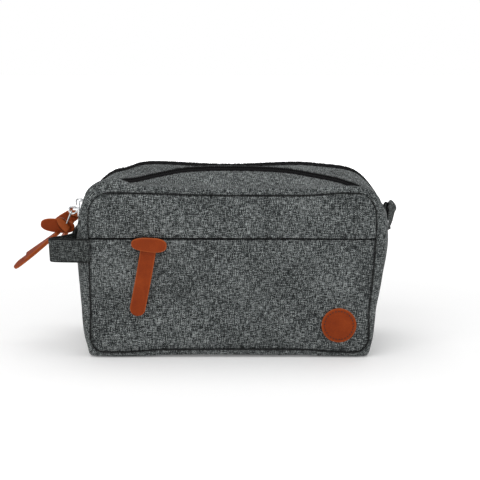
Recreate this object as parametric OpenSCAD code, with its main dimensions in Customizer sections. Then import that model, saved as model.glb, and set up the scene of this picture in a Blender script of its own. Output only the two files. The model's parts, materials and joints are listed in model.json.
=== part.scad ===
// Fabric toiletry bag with two zipped compartments, a flap pocket and leather zip pulls.
// Millimetres. X is the width, the front faces -Y, +Z is up, the base rests on Z = 0.

/* [Bag] */
// Width of the front and back panels between their side seams
panel_w = 224; // [180:1:280]
// Height of the panels' top seam above the floor
seam_top = 129; // [122:1:165]
// Depth from the front face to the back face
bag_d = 105; // [95:1:140]
// Radius of the rim that the gusset rolls round each panel
rim = 9; // [8:0.5:12]
// Radius of a panel's upper corners
corner_top = 18; // [14:1:26]
// Radius of a panel's lower corners
corner_bottom = 12; // [9:1:22]
// Height at which both top zips end and both lids fold
fold_z = 102; // [101:0.5:104]

/* [Cloth] */
// Thickness of the outer cloth
cloth_t = 1; // [0.7:0.1:1.3]
// Thickness of the padded lining
lining_t = 2; // [1:0.1:3]
// Thickness of the unpadded pocket lining
thin_lining_t = 0.4; // [0.3:0.1:0.8]
// Gap between neighbouring layers of cloth where they curve
layer_gap = 0.3; // [0.25:0.05:0.4]
// Thickness of the divider between the compartments
divider_t = 2; // [1:0.5:4]
// Thickness of the base board
board_t = 1.5; // [1:0.5:3]
// Gap between the base board's edge and the lining round it
board_gap = 3; // [1:0.5:6]
// Width of the binding over the inside seams
binding_w = 4; // [3:0.5:6]
// Thickness of that binding
binding_t = 1; // [0.6:0.2:1.4]

/* [Zips] */
// Distance of the front zip's centre behind the front face
front_zip_back = 38.5; // [34:0.5:44]
// Distance of the rear zip's centre before the back face
rear_zip_back = 22; // [20:0.5:26]
// Width of the slot in the cloth over a zip
zip_slot = 8; // [7:0.5:9]
// Width of one zip tape
tape_w = 11; // [9:0.5:12]
// Thickness of a zip tape
tape_t = 0.6; // [0.4:0.1:0.8]
// Width of one half of the coil
coil_w = 2.2; // [1.8:0.1:2.6]
// Thickness of the coil
coil_t = 1.2; // [1:0.1:1.4]
// Gap between the halves of a coil, where a slider's post runs
coil_gap = 1.2; // [1:0.1:1.6]
// Length of an end stop
stop_l = 2.4; // [1.6:0.2:4]

/* [Sliders] */
// Length of a slider
slider_l = 12; // [10:0.5:14]
// Width of a slider at its nose
slider_w = 8; // [7:0.5:8.4]
// Thickness of a slider's plates
plate_t = 1.2; // [0.8:0.1:1.4]
// Running gap between a slider and the coil
slide_gap = 0.3; // [0.25:0.05:0.4]
// Gap between a slider's inner plate and the tape, wide enough for the corner's curve
inner_gap = 0.9; // [0.8:0.1:1.2]
// Radius of the bar that a slider's ring turns on
bar_r = 0.7; // [0.5:0.1:0.9]
// Radius of a ring's centre line
ring_r = 3; // [2.8:0.1:3.6]
// Radius of a ring's wire
ring_wire = 0.7; // [0.5:0.1:0.9]
// Radius of a link's wire
link_wire = 0.6; // [0.4:0.1:0.7]
// Half the width of a link, to its wire's centre
link_half = 2.2; // [2:0.1:3]
// Length of the front link between its wire's centres
front_link_l = 13.4; // [10:0.2:18]
// Length of the rear link between its wire's centres
rear_link_l = 7.6; // [7:0.2:10]
// Free play of a wire in what it passes through
wire_play = 0.2; // [0.15:0.05:0.3]

/* [Pulls] */
// Length of a pull's oval head
head_l = 27; // [22:0.5:32]
// Width of a pull's oval head
head_w = 11; // [9:0.5:13]
// Thickness of the head
head_t = 2.4; // [1.6:0.2:3]
// Length of a pull's strip below its wire
strip_l = 56; // [40:1:70]
// Width of the strip
strip_w = 12; // [9:0.5:14]
// Thickness of one layer of the strip
strip_t = 1.4; // [1:0.1:1.8]
// Length over which the strip is doubled
double_l = 42; // [30:1:50]
// Distance of the wire's hole from the middle of the front pull's head
front_hole_off = 6.2; // [5:0.2:8]
// Distance of the wire's hole from the middle of the rear pull's head
rear_hole_off = 10; // [9:0.2:10.4]

/* [Pocket] */
// Height of the pocket flap's lower edge
flap_z = 94.5; // [93:0.5:96]
// How far the pocket panel lies behind the flap's face
pocket_set_back = 2; // [1.5:0.1:2.5]
// Clear depth of the pocket
pocket_gap = 4.8; // [4.6:0.2:8]
// Distance of the pocket slider left of the middle
pocket_slider_x = -63.5; // [-80:0.5:-50]
// Tilt of the pocket pull from upright
pocket_tilt = 9.4; // [0:0.2:15]
// Radius of the round leather patch
patch_r = 13.5; // [10:0.2:18]
// Thickness of the patch
patch_t = 1.2; // [0.8:0.1:2]
// Distance of the patch's centre right of the middle
patch_x = 83; // [60:1:88]
// Height of the patch's centre
patch_z = 25.5; // [24:0.5:40]
// Stitches round the patch
patch_stitches = 30; // [18:1:40]

/* [Handle] */
// Width of the handle strap
strap_w = 18.5; // [14:0.5:22]
// Thickness of the strap
strap_t = 2.4; // [1.6:0.2:3]
// Height of the strap's lower edge
strap_z = 75; // [60:1:78]
// How far the strap's fold stands out from the side
strap_out = 20; // [14:0.5:30]
// Width of the end tab on the other side
tab_w = 16; // [10:1:20]
// Length of the end tab
tab_l = 21; // [12:1:26]
// Lean of the end tab away from the side
tab_lean = 17; // [8:1:24]
// Distance of the end tab's middle behind the middle of the bag
tab_y = 6; // [0:1:12]

/* [Hidden] */
$fn = 64;

half_w = panel_w / 2;
front_y = -bag_d / 2;
back_y = bag_d / 2;
front_zip_y = front_y + front_zip_back;
rear_zip_y = back_y - rear_zip_back;
far = 400;                                   // longer than any cut needs

// Distances out from the seam line, through a top strip and its zip
strip_in = rim - cloth_t;
tape_out = strip_in - layer_gap;
tape_in = tape_out - tape_t;
coil_in = tape_out + layer_gap;
coil_out = coil_in + coil_t;
lining_out = rim - cloth_t - layer_gap;
lining_in = lining_out - lining_t;

// The pocket's layers, counted back from the front face
flap_in = front_y + cloth_t;
pocket_y = front_y + pocket_set_back;        // outer face of the pocket panel
pocket_in = pocket_y + cloth_t;
wall_y = pocket_in + pocket_gap;             // outer face of the inner front wall
wall_in = wall_y + cloth_t;
wall_grow = lining_in - 2 * layer_gap;       // the inner wall reaches out to the gusset's lining
pocket_zip_z = flap_z + coil_gap / 2;        // the pocket zip's centre, just behind the flap's edge
pocket_coil_t = 0.8;
pocket_coil_y = pocket_in - pocket_coil_t;   // the coil's front face; its back face lies on the tape
pocket_slide_gap = 0.2;
pocket_plate_t = 0.8;
pocket_slider_w = 6;
seam_gap = 0.1;                              // play left beside a sewn seam

// Side slider and its chain
slider_z = seam_top - corner_top;            // the corner's centre, where the run round it begins
slider_top = coil_out + slide_gap + plate_t;
ring_clear = 2 * ring_wire + bar_r + 2 * wire_play;
bar_u = slider_top + ring_clear + 0.5;
ring_drop = 40.5;                            // the ring hangs this far below level
front_link_drop = 68;
rear_link_drop = 84;
front_head_tilt = 7;
rear_head_tilt = -30;
front_strip_drop = 39.5;
front_strip_lean = 10;
rear_strip_drop = 60;
rear_strip_lean = 25;

// Pocket slider's lug, and the fold of the strip round the bail's bar
lug_r = 1.3;
lug_l = 3;
fold_r = link_wire + wire_play + strip_t;
lug_y = pocket_y - wire_play - fold_r;
lug_z = flap_z - 0.4 - lug_r;
bail_l = 4.3;

function down(angle) = [-cos(angle), 0, -sin(angle)];
function bar_at(y) = [-(half_w + bar_u), y, slider_z];
function ring_at(y) = bar_at(y) + (ring_r - ring_wire - bar_r - wire_play) * down(ring_drop);
function link_start(y) = ring_at(y) + (ring_r - ring_wire - link_wire - wire_play) * down(ring_drop);
function link_end(y, l, drop) = link_start(y) + l * down(drop);

// ---- shapes shared by many pieces ----

// The seam line's shape in X and Z, grown outward by g
module outline(g) {
    w = half_w + g;
    z0 = rim - g;
    z1 = seam_top + g;
    rt = corner_top + g;
    rb = corner_bottom + g;
    polygon([
        [-w + rb, z0], [w - rb, z0], [w, z0 + rb], [w, z1 - rt],
        [w - rt, z1], [-w + rt, z1], [-w, z1 - rt], [-w, z0 + rb]
    ]);
    for (s = [-1, 1]) {
        translate([s * (w - rt), z1 - rt]) circle(rt);
        translate([s * (w - rb), z0 + rb]) circle(rb);
    }
}

// A shape in X and Z made solid from y0 back to y1
module slab(y0, y1) {
    translate([0, y1, 0]) rotate([90, 0, 0]) linear_extrude(y1 - y0) children();
}

// The part of a panel's outline between two heights
module panel(y0, y1, g, z0, z1) {
    slab(y0, y1) intersection() {
        outline(g);
        translate([-far, z0]) square([2 * far, z1 - z0]);
    }
}

// Section of the gusset, x out from the seam line and y along the depth, inset by t
module rim_section(t) {
    intersection() {
        union() {
            translate([0, front_y + rim]) square([rim - t, bag_d - 2 * rim]);
            for (y = [front_y + rim, back_y - rim]) translate([0, y]) circle(rim - t);
        }
        translate([0, -far]) square([far, 2 * far]);
    }
}

// One layer of that section between two depths
module layer(t0, t1, y0, y1) {
    intersection() {
        difference() {
            rim_section(t0);
            rim_section(t1);
        }
        translate([0, y0]) square([far, y1 - y0]);
    }
}

// A section carried round one corner of the outline
module round_corner(x, z, r, start) {
    translate([x, 0, z]) rotate([-90, 0, 0]) rotate([0, 0, start])
        rotate_extrude(angle = 90) translate([r, 0]) children();
}

// A section carried up both sides from z0 and over the top
module over_top(z0) {
    x = half_w - corner_top;
    z = seam_top - corner_top;
    translate([half_w, 0, z0]) linear_extrude(z - z0) children();
    translate([-half_w, 0, z0]) mirror([1, 0, 0]) linear_extrude(z - z0) children();
    round_corner(x, z, corner_top, -90) children();
    round_corner(-x, z, corner_top, -180) children();
    translate([x, 0, seam_top]) rotate([0, -90, 0]) linear_extrude(2 * x) children();
}

// A section carried down both sides from z1 and under the bottom
module under_bottom(z1) {
    x = half_w - corner_bottom;
    z = rim + corner_bottom;
    translate([half_w, 0, z]) linear_extrude(z1 - z) children();
    translate([-half_w, 0, z]) mirror([1, 0, 0]) linear_extrude(z1 - z) children();
    round_corner(x, z, corner_bottom, 0) children();
    round_corner(-x, z, corner_bottom, 90) children();
    translate([-x, 0, rim]) rotate([0, 90, 0]) linear_extrude(2 * x) children();
}

// A box given by its low and high corners
module box(lo, hi) {
    translate(lo) cube(hi - lo);
}

module rod(r, l) {
    cylinder(r = r, h = l, center = true);
}

// ---- lower shell ----

module lower_gusset() {
    color("dimgray") under_bottom(fold_z) layer(0, cloth_t, front_y, back_y);
}

module gusset_lining() {
    color("darkgray") under_bottom(fold_z)
        layer(rim - lining_out, rim - lining_in, front_y, back_y);
}

module base_board() {
    x = half_w - corner_bottom - board_gap;
    z = rim - lining_in;
    color("tan") box([-x, wall_in + lining_t + board_gap, z], [x, back_y - rim, z + board_t]);
}

module pocket_panel() {
    color("dimgray") panel(pocket_y, pocket_in, -layer_gap, 0, pocket_zip_z - coil_gap / 2 - coil_w - layer_gap);
}

module pocket_lining() {
    top = pocket_zip_z - coil_gap / 2 - tape_w - layer_gap;
    color("darkgray") panel(pocket_in, pocket_in + thin_lining_t, -layer_gap, 0, top);
}

module pocket_flap() {
    color("dimgray") panel(front_y, flap_in, -layer_gap, flap_z, fold_z);
}

// Seam allowances that join the flap, the pocket zip's upper tape and the inner wall
module pocket_facing() {
    l = half_w - rim;
    low = pocket_zip_z + pocket_slider_w / 2 + layer_gap;
    lip = fold_z - 1.5;
    color("dimgray") translate([-l, 0, 0]) rotate([90, 0, 90]) linear_extrude(2 * l) polygon([
        [flap_in, low], [pocket_in, low], [pocket_in, lip],
        [wall_y, lip], [wall_y, fold_z], [flap_in, fold_z]
    ]);
}

module front_wall() {
    color("dimgray") panel(wall_y, wall_in, wall_grow, 0, fold_z);
}

module front_wall_lining() {
    color("darkgray") panel(wall_in, wall_in + lining_t, wall_grow, 0, fold_z);
}

module back_lower_panel() {
    color("dimgray") panel(back_y - cloth_t, back_y, -layer_gap, 0, fold_z);
}

module back_lower_lining() {
    color("darkgray") panel(back_y - cloth_t - lining_t, back_y - cloth_t, -layer_gap, 0, fold_z);
}

// The divider hangs from the middle strip's lining and is sewn to the gusset's lining
module divider() {
    g = lining_in - layer_gap;
    y = (front_zip_y + rear_zip_y) / 2;
    color("darkgray") slab(y - divider_t / 2, y + divider_t / 2) intersection() {
        outline(g);
        translate([-far, rim - g + board_t + layer_gap]) square([2 * far, far]);
    }
}

// Binding over the seam between a lining and the gusset's lining, out to u
module binding(u, y0) {
    under_bottom(fold_z) translate([u - binding_w, y0]) square([binding_w, binding_t]);
}

module front_binding() {
    color("black") binding(lining_in - layer_gap, wall_in + lining_t);
}

module back_binding() {
    u = binding_w / 2;
    y = back_y - rim + sqrt(lining_in * lining_in - u * u) - layer_gap - binding_t;
    color("black") binding(u, y);
}

// ---- strips over the top and their zips ----

module strip_cloth(y0, y1) {
    over_top(fold_z) layer(0, cloth_t, y0, y1);
}

module strip_lining(y0, y1) {
    over_top(fold_z) layer(rim - lining_out, rim - lining_in, y0, y1);
}

// A tape beside a zip's centre: side is -1 towards the front and 1 towards the back
module tape(zip_y, side) {
    y = side > 0 ? zip_y + coil_gap / 2 : zip_y - coil_gap / 2 - tape_w;
    over_top(fold_z) translate([tape_in, y]) square([tape_t, tape_w]);
}

module coil(zip_y, side) {
    y = side > 0 ? zip_y + coil_gap / 2 : zip_y - coil_gap / 2 - coil_w;
    over_top(fold_z) translate([coil_in, y]) square([coil_t, coil_w]);
}

module middle_strip() {
    color("dimgray") strip_cloth(front_zip_y + zip_slot / 2, rear_zip_y - zip_slot / 2);
}

module middle_strip_lining() {
    reach = coil_gap / 2 + tape_w + layer_gap;
    color("darkgray") strip_lining(front_zip_y + reach, rear_zip_y - reach);
}

module front_top_strip() {
    color("dimgray") strip_cloth(front_y, front_zip_y - zip_slot / 2);
}

module front_strip_lining() {
    color("darkgray") strip_lining(front_y, front_zip_y - coil_gap / 2 - tape_w - layer_gap);
}

module rear_top_strip() {
    color("dimgray") strip_cloth(rear_zip_y + zip_slot / 2, back_y);
}

module rear_strip_lining() {
    color("darkgray") strip_lining(rear_zip_y + coil_gap / 2 + tape_w + layer_gap, back_y);
}

module front_upper_panel() {
    color("dimgray") panel(front_y, flap_in, -layer_gap, fold_z, far);
}

module front_upper_lining() {
    color("darkgray") panel(flap_in, flap_in + lining_t, -layer_gap, fold_z, far);
}

module back_upper_panel() {
    color("dimgray") panel(back_y - cloth_t, back_y, -layer_gap, fold_z, far);
}

module back_upper_lining() {
    color("darkgray") panel(back_y - cloth_t - lining_t, back_y - cloth_t, -layer_gap, fold_z, far);
}

module front_zip_tape_inner() {
    color("black") tape(front_zip_y, 1);
}

module front_zip_coil_inner() {
    color("black") coil(front_zip_y, 1);
}

module front_zip_tape_lid() {
    color("black") tape(front_zip_y, -1);
}

module front_zip_coil_lid() {
    color("black") coil(front_zip_y, -1);
}

module rear_zip_tape_inner() {
    color("black") tape(rear_zip_y, -1);
}

module rear_zip_coil_inner() {
    color("black") coil(rear_zip_y, -1);
}

module rear_zip_tape_lid() {
    color("black") tape(rear_zip_y, 1);
}

module rear_zip_coil_lid() {
    color("black") coil(rear_zip_y, 1);
}

// Stops that close both ends of each top zip, clamped on the gusset just below the coils
module zip_end_stops() {
    w = 2 * coil_w + coil_gap;
    color("silver") for (s = [-1, 1], y = [front_zip_y, rear_zip_y])
        box([s * (half_w + rim) - (s < 0 ? coil_t : 0), y - w / 2, fold_z - stop_l],
            [s * (half_w + rim) + (s > 0 ? coil_t : 0), y + w / 2, fold_z]);
}

// ---- pocket zip ----

module pocket_tape(z0, z1) {
    l = half_w - rim;
    box([-l, pocket_in, z0], [l, pocket_in + tape_t, z1]);
}

module pocket_zip_tape_upper() {
    color("black") pocket_tape(pocket_zip_z + coil_gap / 2, fold_z - 1.5);
}

module pocket_zip_tape_lower() {
    color("black") pocket_tape(pocket_zip_z - coil_gap / 2 - tape_w, pocket_zip_z - coil_gap / 2);
}

module pocket_coil(z) {
    l = half_w - rim;
    box([-l, pocket_coil_y, z], [l, pocket_in, z + coil_w]);
}

module pocket_zip_coil_upper() {
    color("black") pocket_coil(pocket_zip_z + coil_gap / 2);
}

module pocket_zip_coil_lower() {
    color("black") pocket_coil(pocket_zip_z - coil_gap / 2 - coil_w);
}

// ---- handle, end tab and patch ----

function turned(d) = [-d.y, d.x] / norm(d);

// A point moved s to the left of the line of points p at its corner i
function beside(p, i, s) =
    let (last = len(p) - 1,
         n0 = turned(i > 0 ? p[i] - p[i - 1] : p[1] - p[0]),
         n1 = turned(i < last ? p[i + 1] - p[i] : p[last] - p[last - 1]),
         n = (n0 + n1) / norm(n0 + n1))
    p[i] + s / (n * n0) * n;

// A ribbon of thickness t along a line of points
module ribbon(points, t) {
    last = len(points) - 1;
    polygon(concat(
        [for (i = [0 : last]) beside(points, i, t / 2)],
        [for (i = [last : -1 : 0]) beside(points, i, -t / 2)]
    ));
}

// The strap leaves the front seam, folds in front of the side and runs along it to the back seam
module handle_strap() {
    side = half_w + rim;
    off = layer_gap + strap_t / 2;
    r = rim + off + seam_gap;
    start = [[-half_w - 0.5, front_y - seam_gap - strap_t / 2],
             [-side - 2, front_y - 0.8],
             [-side - strap_out, front_y + 2],
             [-side - strap_out - 0.5, front_y + 6],
             [-side - strap_out + 7, front_y + 14.5],
             [-side - off - 1, front_y + 27],
             [-side - off, front_y + 36]];
    end = [for (a = [0 : 22.5 : 90]) [-half_w - r * cos(a), back_y - rim + r * sin(a)]];
    color("dimgray") translate([0, 0, strap_z]) linear_extrude(strap_w) ribbon(concat(start, end), strap_t);
}

module end_tab() {
    color("dimgray") translate([half_w + rim + seam_gap, tab_y - tab_w / 2, fold_z - 7])
        rotate([0, tab_lean, 0]) cube([strap_t, tab_w, tab_l]);
}

module leather_patch() {
    color("chocolate") translate([patch_x, pocket_y, patch_z]) rotate([90, 0, 0])
        cylinder(r = patch_r, h = patch_t);
}

module patch_stitches() {
    stitch = [1.7, 0.5, 0.3];
    color("saddlebrown") translate([patch_x, pocket_y - patch_t, patch_z]) rotate([90, 0, 0])
        for (i = [0 : patch_stitches - 1]) rotate(i * 360 / patch_stitches)
            translate([-stitch.x / 2, 0.82 * patch_r, 0]) cube(stitch);
}

// ---- sliders and their chains ----

// Outline of a slider's plate, with its wide nose towards +X
module slider_plan(l, w) {
    tail = 0.8;
    polygon([
        [-l / 2, -w / 2 * tail], [l * 0.2, -w / 2], [l / 2, -w / 4],
        [l / 2, w / 4], [l * 0.2, w / 2], [-l / 2, w / 2 * tail]
    ]);
}

// A shape on the left side wall made solid from distance u0 to u1 outside the seam line
module on_side(y, u0, u1) {
    translate([-half_w - u0, y, slider_z]) rotate([0, -90, 0]) linear_extrude(u1 - u0) children();
}

module side_slider(y) {
    post_w = coil_gap - 2 * wire_play;
    plate_in = tape_in - inner_gap;
    bar_w = 6;
    arm_t = 1.2;
    color("silver") {
        on_side(y, plate_in - plate_t, plate_in) slider_plan(slider_l - 3, slider_w);
        on_side(y, plate_in, slider_top - plate_t) square([slider_l / 2, post_w], center = true);
        on_side(y, slider_top - plate_t, slider_top) slider_plan(slider_l, slider_w);
        for (s = [-1, 1]) translate([0, s * (bar_w - arm_t) / 2, 0])
            on_side(y, slider_top, bar_u + bar_r) square([2 * bar_r, arm_t], center = true);
        translate(bar_at(y)) rotate([90, 0, 0]) rod(bar_r, bar_w);
    }
}

module side_ring(y) {
    color("silver") translate(ring_at(y)) rotate([90, 0, 0]) rotate_extrude()
        translate([ring_r, 0]) circle(ring_wire, $fn = 32);
}

// A wire loop from one hinge point to the next, lying across the ring
module side_link(y, l, drop) {
    straight = l - 2 * link_half;
    color("silver") translate(link_start(y)) rotate([0, 180 - drop, 0]) {
        for (s = [-1, 1]) translate([link_half + straight / 2, s * link_half, 0])
            rotate([0, 90, 0]) rod(link_wire, straight);
        for (end = [[link_half, 90], [link_half + straight, -90]])
            translate([end[0], 0, 0]) rotate([0, 0, end[1]]) rotate_extrude(angle = 180)
                translate([link_half, 0]) circle(link_wire, $fn = 32);
    }
}

// An oval plate, long along X and centred on Y
module oval_plate(l, w, t) {
    slab(-t / 2, t / 2) {
        square([l - w, w], center = true);
        for (s = [-1, 1]) translate([s * (l - w) / 2, 0]) circle(w / 2);
    }
}

// A side pull's head hangs on the link by its hole; grow adds clearance for what passes it
module side_head(hole, off, tilt, grow) {
    translate(hole) rotate([0, 180 + tilt, 0]) difference() {
        translate([off, 0, 0]) oval_plate(head_l + 2 * grow, head_w + 2 * grow, head_t + 2 * grow);
        if (grow == 0) rotate([90, 0, 0]) rod(link_wire + 3.5 * wire_play, 3 * head_t);
    }
}

// The rounded lower end and the sides of a strip that hangs from z = top
module strip_front(top) {
    r = strip_w / 2;
    translate([-r, r - strip_l]) square([strip_w, top + strip_l - r]);
    translate([0, r - strip_l]) circle(r);
}

// The doubled strip of a side pull starts just past the link's wire and straddles the head
module side_strip(hole, off, tilt, drop, lean) {
    top = -3;
    color("chocolate") difference() {
        translate(hole) rotate([0, 90 - drop, 0]) rotate([lean, 0, 0]) rotate([0, 0, -90])
            difference() {
                slab(-strip_t, strip_t) strip_front(top);
                box([-strip_w, 0, -strip_l - 1], [strip_w, 2 * strip_t, -double_l]);
            }
        side_head(hole, off, tilt, wire_play);
    }
}

module front_slider() {
    side_slider(front_zip_y);
}

module front_ring() {
    side_ring(front_zip_y);
}

module front_link() {
    side_link(front_zip_y, front_link_l, front_link_drop);
}

module front_pull_head() {
    hole = link_end(front_zip_y, front_link_l, front_link_drop);
    color("chocolate") side_head(hole, front_hole_off, front_head_tilt, 0);
}

module front_pull_strip() {
    hole = link_end(front_zip_y, front_link_l, front_link_drop);
    side_strip(hole, front_hole_off, front_head_tilt, front_strip_drop, front_strip_lean);
}

module rear_slider() {
    side_slider(rear_zip_y);
}

module rear_ring() {
    side_ring(rear_zip_y);
}

module rear_link() {
    side_link(rear_zip_y, rear_link_l, rear_link_drop);
}

module rear_pull_head() {
    hole = link_end(rear_zip_y, rear_link_l, rear_link_drop);
    color("chocolate") side_head(hole, rear_hole_off, rear_head_tilt, 0);
}

module rear_pull_strip() {
    hole = link_end(rear_zip_y, rear_link_l, rear_link_drop);
    side_strip(hole, rear_hole_off, rear_head_tilt, rear_strip_drop, rear_strip_lean);
}

// The frame of the pocket pull: origin at the middle of the slider's lug, tilted as it hangs
module at_lug() {
    translate([pocket_slider_x, lug_y, lug_z]) rotate([0, pocket_tilt, 0]) children();
}

module pocket_slider() {
    post_w = coil_gap - 2 * wire_play;
    front = pocket_coil_y - pocket_slide_gap;
    behind = pocket_in + tape_t + pocket_slide_gap;
    color("silver") difference() {
        union() {
            translate([pocket_slider_x, 0, pocket_zip_z]) {
                slab(front - pocket_plate_t, front) slider_plan(slider_l, pocket_slider_w);
                slab(front, behind) square([slider_l / 2, post_w], center = true);
                slab(behind, behind + pocket_plate_t) slider_plan(slider_l, pocket_slider_w);
            }
            at_lug() rotate([0, 90, 0]) rod(lug_r, lug_l);
            translate([pocket_slider_x - lug_l / 3, 0, 0])
                box([0, lug_y, lug_z - lug_r / 2], [lug_l / 1.5, front - pocket_plate_t / 2, lug_z + lug_r / 2]);
        }
        at_lug() rotate([0, 90, 0]) rod(link_wire + wire_play, 2 * lug_l);
    }
}

module pocket_bail() {
    x = strip_w / 2 + link_wire + layer_gap;
    color("silver") at_lug() {
        for (z = [0, -bail_l]) translate([0, 0, z]) rotate([0, 90, 0]) rod(link_wire, 2 * x);
        for (s = [-1, 1]) {
            translate([s * x, 0, -bail_l / 2]) rod(link_wire, bail_l);
            for (z = [0, -bail_l]) translate([s * x, 0, z]) sphere(link_wire);
        }
    }
}

module pocket_pull_head() {
    y = -fold_r - wire_play - head_t / 2;
    color("chocolate") at_lug() translate([0, y, -bail_l]) oval_plate(head_l, head_w, head_t);
}

// The strip folds over the bail's lower bar, and its back layer ends short of the tip
module pocket_pull_strip() {
    waist = -6;
    top = fold_r - 0.1;
    color("chocolate") at_lug() translate([0, 0, -bail_l]) difference() {
        union() {
            rotate([0, 90, 0]) rod(fold_r, strip_w);
            intersection() {
                slab(-far, far) strip_front(0.4);
                translate([-strip_w / 2, 0, 0]) rotate([90, 0, 90]) linear_extrude(strip_w) polygon([
                    [-top, 0.4], [top, 0.4], [strip_t, waist], [strip_t, -double_l],
                    [0, -double_l], [0, -strip_l], [-strip_t, -strip_l], [-strip_t, waist]
                ]);
            }
        }
        rotate([0, 90, 0]) rod(link_wire + wire_play, 2 * strip_w);
    }
}

lower_gusset();
gusset_lining();
base_board();
pocket_panel();
pocket_lining();
pocket_flap();
pocket_facing();
front_wall();
front_wall_lining();
back_lower_panel();
back_lower_lining();
divider();
front_binding();
back_binding();
middle_strip();
middle_strip_lining();
handle_strap();
end_tab();
leather_patch();
patch_stitches();
pocket_zip_tape_upper();
pocket_zip_tape_lower();
pocket_zip_coil_upper();
pocket_zip_coil_lower();
front_zip_tape_inner();
front_zip_coil_inner();
rear_zip_tape_inner();
rear_zip_coil_inner();
zip_end_stops();
front_upper_panel();
front_upper_lining();
front_top_strip();
front_strip_lining();
front_zip_tape_lid();
front_zip_coil_lid();
back_upper_panel();
back_upper_lining();
rear_top_strip();
rear_strip_lining();
rear_zip_tape_lid();
rear_zip_coil_lid();
pocket_slider();
pocket_bail();
pocket_pull_head();
pocket_pull_strip();
front_slider();
front_ring();
front_link();
front_pull_head();
front_pull_strip();
rear_slider();
rear_ring();
rear_link();
rear_pull_head();
rear_pull_strip();
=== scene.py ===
import json
import math

import bmesh
import bpy
from mathutils import Matrix, Vector, noise


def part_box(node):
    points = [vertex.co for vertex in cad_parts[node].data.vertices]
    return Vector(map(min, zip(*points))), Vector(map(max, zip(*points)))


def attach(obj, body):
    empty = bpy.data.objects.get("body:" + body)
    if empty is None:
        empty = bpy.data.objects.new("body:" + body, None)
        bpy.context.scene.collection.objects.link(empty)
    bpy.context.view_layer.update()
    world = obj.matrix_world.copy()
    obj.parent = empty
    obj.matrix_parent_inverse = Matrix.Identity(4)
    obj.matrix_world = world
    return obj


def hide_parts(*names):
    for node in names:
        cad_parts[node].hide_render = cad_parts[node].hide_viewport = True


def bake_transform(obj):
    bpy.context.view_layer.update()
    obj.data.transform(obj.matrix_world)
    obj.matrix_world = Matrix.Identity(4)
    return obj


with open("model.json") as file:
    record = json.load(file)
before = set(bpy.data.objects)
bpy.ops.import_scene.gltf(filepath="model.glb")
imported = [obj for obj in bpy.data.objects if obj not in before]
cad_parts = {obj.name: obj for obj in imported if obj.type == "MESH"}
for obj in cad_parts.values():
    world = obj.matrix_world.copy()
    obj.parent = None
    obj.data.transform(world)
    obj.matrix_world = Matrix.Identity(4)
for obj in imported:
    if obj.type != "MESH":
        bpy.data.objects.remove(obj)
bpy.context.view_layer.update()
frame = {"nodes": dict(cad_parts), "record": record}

# ---------------------------------------------------------------- sizes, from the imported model
MM = 0.001
shell_lo, shell_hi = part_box("lower_gusset")
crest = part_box("middle_strip")[1][2]                  # top of the strips
SIDE = shell_hi[0]                                    # outer face of the side walls
RIM = 9 * MM                                          # roll of the gusset round each panel
HALF = SIDE - RIM                                     # side seam of the panels
FRONT, BACK = shell_lo[1], shell_hi[1]
FOLD = shell_hi[2]                                    # where zips end and lids fold
TOP = crest - RIM                                     # top seam
R_TOP, R_BOTTOM = 18 * MM, 12 * MM                    # corner radii of the seam line
front_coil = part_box("front_zip_coil_inner")
rear_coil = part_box("rear_zip_coil_inner")
FRONT_ZIP = front_coil[0][1] - 0.6 * MM               # centre lines of the two top zips
REAR_ZIP = rear_coil[1][1] + 0.6 * MM
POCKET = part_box("pocket_panel")[0][1]                 # outer face of the pocket
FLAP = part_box("pocket_flap")[0][2]                    # lower edge of the flap
SLOT = 3.6 * MM                                       # from a zip's centre to the cloth's edge
CLOTH = 1.0 * MM                                      # thickness of the outer cloth
LEATHER = 1.35 * MM                                   # thickness of the pulls' leather strips
COIL_PITCH = 1.6 * MM                                 # from one loop of a top zip's coil to the next
JOINT = {j["name"]: j for j in frame["record"]["behaviour"]["joints"]}


def joint_at(name):
    return Vector(JOINT[name]["pos_m"])


def clamp(v, lo=0.0, hi=1.0):
    return max(lo, min(hi, v))


def smooth(v, a, b):
    t = clamp((v - a) / (b - a))
    return t * t * (3 - 2 * t)


def hump(v, a, b, c, d):
    """0 outside a..d, 1 between b and c."""
    return smooth(v, a, b) * (1 - smooth(v, c, d))


def wander(p, scale, seed=0.0):
    return noise.noise(Vector((p[0] * scale + seed, p[1] * scale - seed, p[2] * scale + 2 * seed)))


def along(v, points):
    """A smooth curve through (place, value) pairs in millimetres, read at v metres."""
    v = clamp(v / MM, points[0][0], points[-1][0])
    last = len(points) - 1
    slope = [(points[min(i + 1, last)][1] - points[max(i - 1, 0)][1])
             / (points[min(i + 1, last)][0] - points[max(i - 1, 0)][0]) for i in range(last + 1)]
    for i in range(last):
        (a, va), (b, vb) = points[i:i + 2]
        if v <= b:
            w, t = b - a, (v - a) / (b - a)
            return MM * ((1 + 2 * t) * (1 - t) ** 2 * va + t * (1 - t) ** 2 * w * slope[i]
                         + t * t * (3 - 2 * t) * vb - t * t * (1 - t) * w * slope[i + 1])


# how far the top stands above or below the CAD along X, as (x, height) in millimetres, at the front and the rear zip
FRONT_ARCH = ((-118, -5), (-98, -6), (-80, -5.6), (-59, -1.2), (-36, 2.8), (4, 3.8), (40, 2.2), (60, -1), (80, -5),
              (94, -8.5), (118, -9.5))
REAR_ARCH = ((-118, -1.4), (-101, -1.4), (-88, -0.6), (-77, 3), (-64, 4.2), (-6, 1.8), (52, 3.6), (76, 1.8), (94, 0),
             (118, -1))


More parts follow.
